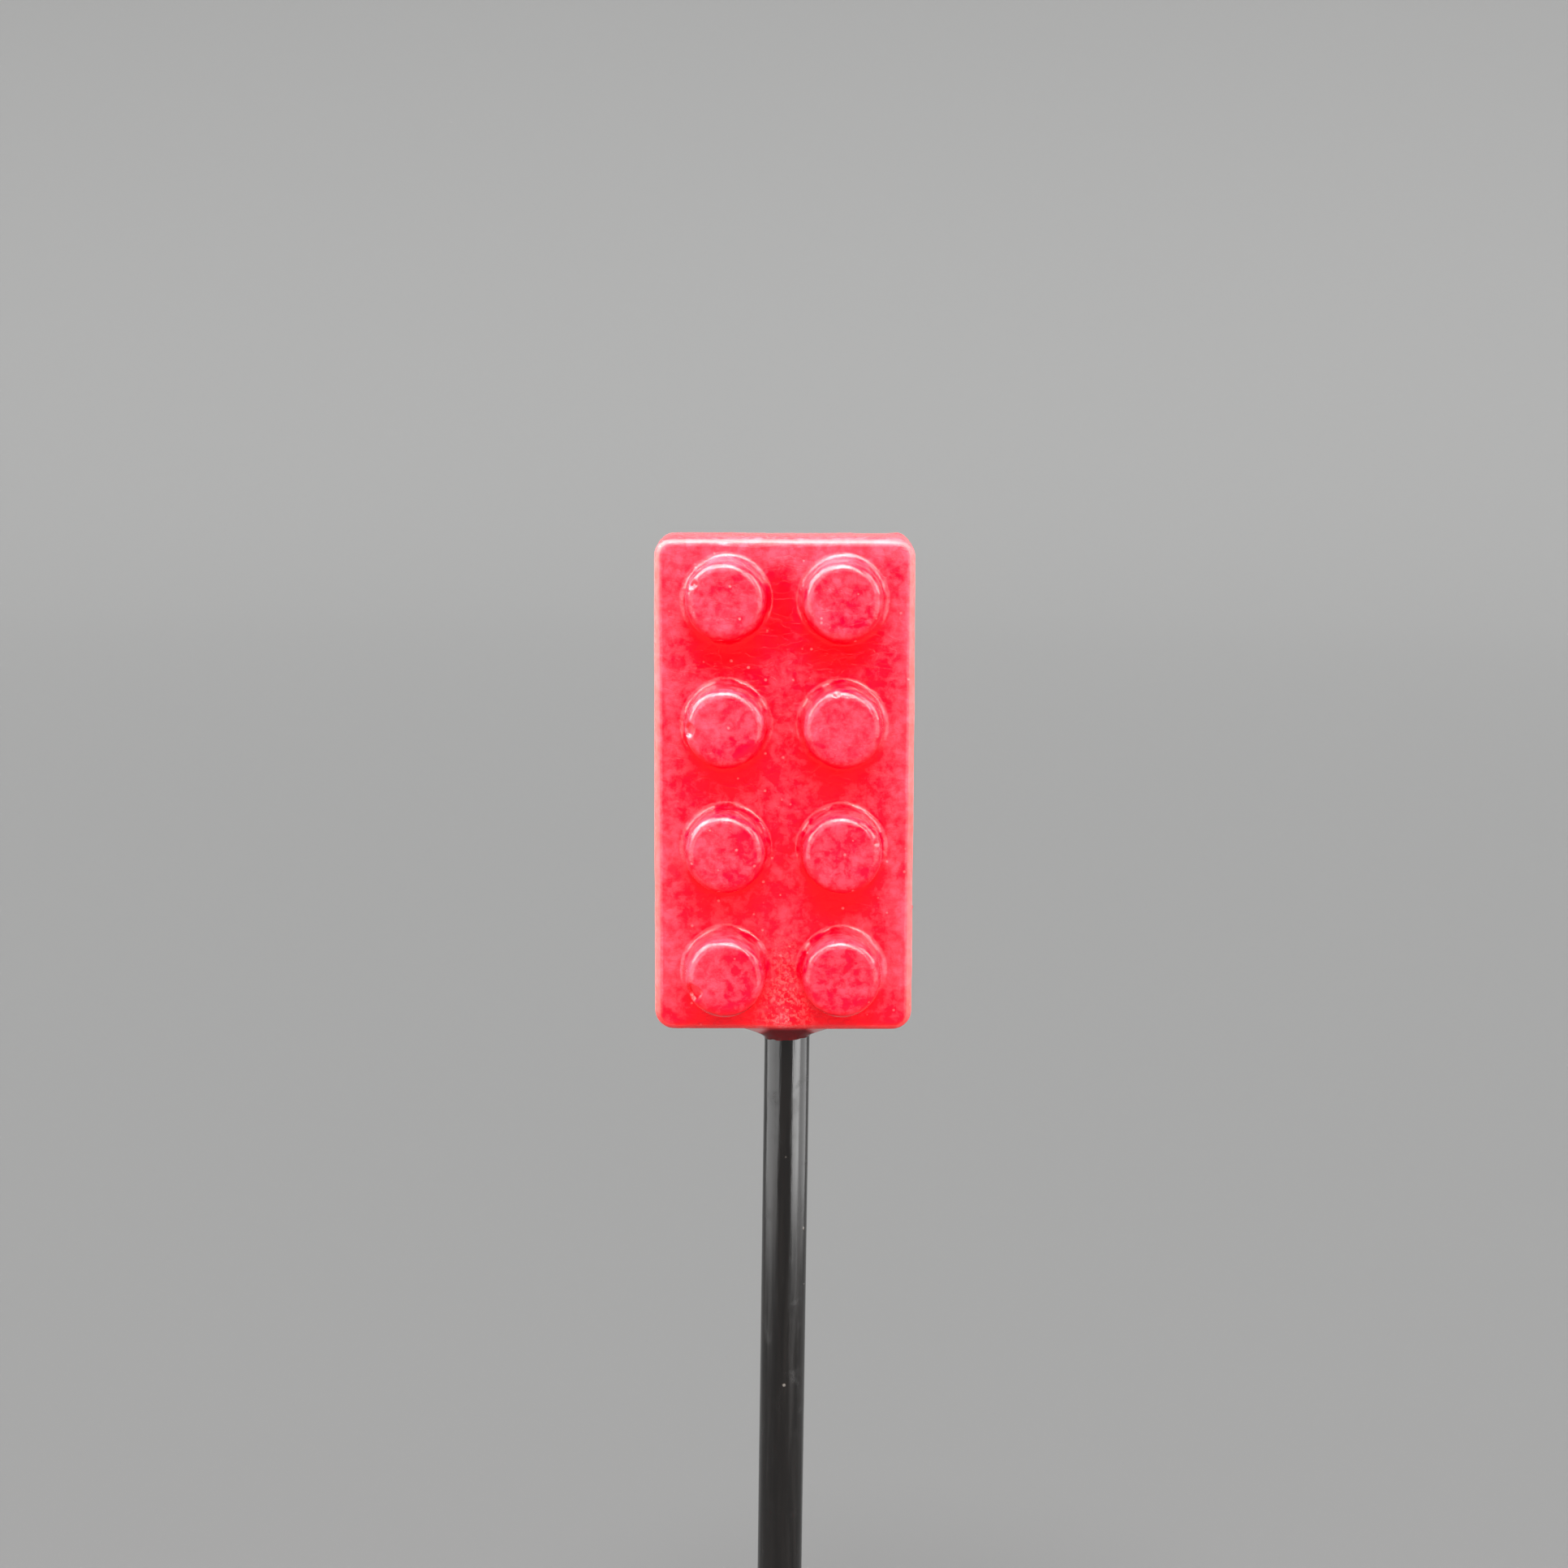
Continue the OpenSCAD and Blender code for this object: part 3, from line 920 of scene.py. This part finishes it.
def makeFloor():  # a flat floor that sweeps up into a wall all round
    profile = [(r, 0.0) for r in (0.02, 0.3, 0.8, studio["flat"])]
    profile += [(studio["flat"] + studio["sweep"] * math.sin(a), studio["sweep"] * (1 - math.cos(a)))
                for a in arcSteps(10, 0, 90)[1:]]
    profile.append((studio["flat"] + studio["sweep"], studio["wall"]))
    angles = [2 * math.pi * k / studio["around"] for k in range(studio["around"])]
    rings = [[Vector((r * math.cos(a), r * math.sin(a), z)) for a in angles] for r, z in profile]
    bm = bmesh.new()
    for corners in loft(rings):
        bm.faces.new([bm.verts.new(p) for p in corners])
    bmesh.ops.remove_doubles(bm, verts=bm.verts, dist=1e-5)
    middle = [e for e in bm.edges if e.is_boundary and e.verts[0].co.length < 0.05]
    bmesh.ops.contextual_create(bm, geom=middle)
    for face in bm.faces:
        face.smooth = True
        face.normal_update()
        if face.normal.z < 0:
            face.normal_flip()
    mesh = bpy.data.meshes.new("studioFloor")
    bm.to_mesh(mesh)
    bm.free()
    ob = bpy.data.objects.new("studioFloor", mesh)
    bpy.context.scene.collection.objects.link(ob)
    material, _, shader = newMaterial("paleFloor")
    shader.inputs["Base Color"].default_value = studio["floor"]
    shader.inputs["Roughness"].default_value = studio["floorRoughness"]
    mesh.materials.append(material)


def softBox(name, where, target, size, radiance, tint, reached):
    light = bpy.data.lights.new(name, "AREA")
    light.shape = "RECTANGLE"
    light.size, light.size_y = size
    light.energy = radiance * math.pi * size[0] * size[1]
    light.color = tint
    ob = bpy.data.objects.new(name, light)
    ob.location = where
    ob.rotation_euler = (Vector(target) - Vector(where)).to_track_quat("-Z", "Y").to_euler()
    ob.visible_camera = False
    bpy.context.scene.collection.objects.link(ob)
    ob.light_linking.receiver_collection = reached


def sunLight(name, azimuth, elevation, angle, strength):
    light = bpy.data.lights.new(name, "SUN")
    light.energy = strength
    light.angle = math.radians(angle)
    a, e = math.radians(azimuth), math.radians(elevation)
    ob = bpy.data.objects.new(name, light)
    towards = Vector((math.sin(a) * math.cos(e), -math.cos(a) * math.cos(e), math.sin(e)))
    ob.location = towards * 2
    ob.rotation_euler = towards.to_track_quat("Z", "Y").to_euler()
    bpy.context.scene.collection.objects.link(ob)


def litPieces(name, *pieces):
    collection = bpy.data.collections.new(name)
    for piece in pieces:
        collection.objects.link(piece)
    return collection


def makeLights():
    middle = Vector((0, 0, head["base"] + head["height"] / 2))
    reached = {
        "both": litPieces("litBoth", candyHead, candyStick),
        "head": litPieces("litHead", candyHead),
        "stick": litPieces("litStick", candyStick),
    }
    sunLight("ceiling", **studio["ceiling"])
    for name, offset, size, radiance, tint, lit in studio["above"]:
        softBox(name, middle + Vector(offset), middle, size, radiance, tint, reached[lit])
    for name, azimuth, distance, low, high, width, radiance, lit in studio["round"]:
        a = math.radians(azimuth)
        where = Vector((math.sin(a) * distance, -math.cos(a) * distance, (low + high) / 2))
        target = (0, 0, where.z)
        softBox(name, where, target, (width, high - low), radiance, (1, 1, 1), reached[lit])
    world = bpy.data.worlds.new("studioAir")
    world.use_nodes = True
    air = world.node_tree.nodes["Background"]
    air.inputs["Color"].default_value = studio["air"]
    air.inputs["Strength"].default_value = studio["airStrength"]
    bpy.context.scene.world = world


view = {
    "elevation": math.radians(7.3),
    "distance": 0.250,
    "roll": math.radians(0.79),
    "focal": 1.837,  # focal length over the frame's width
    "sensor": 36,
    "aimUp": 0.24 * mm,
}


def makeCamera():
    camera = bpy.data.cameras.new("camera")
    camera.sensor_width = view["sensor"]
    camera.lens = view["sensor"] * view["focal"]
    camera.clip_start = 0.01
    ob = bpy.data.objects.new("camera", camera)
    target = head["matrix"] @ Vector((0, head["front"], head["height"] / 2 + view["aimUp"]))
    tilt = Matrix.Rotation(math.radians(90) - view["elevation"], 4, "X")
    turn = Matrix.Rotation(view["roll"], 4, "Z")
    back = Vector((0, -math.cos(view["elevation"]), math.sin(view["elevation"])))
    ob.matrix_world = Matrix.Translation(target + back * view["distance"]) @ tilt @ turn
    bpy.context.scene.collection.objects.link(ob)
    bpy.context.scene.camera = ob


makeFloor()
makeLights()
makeCamera()
bpy.context.scene.view_settings.view_transform = "Standard"
print("studio ready")
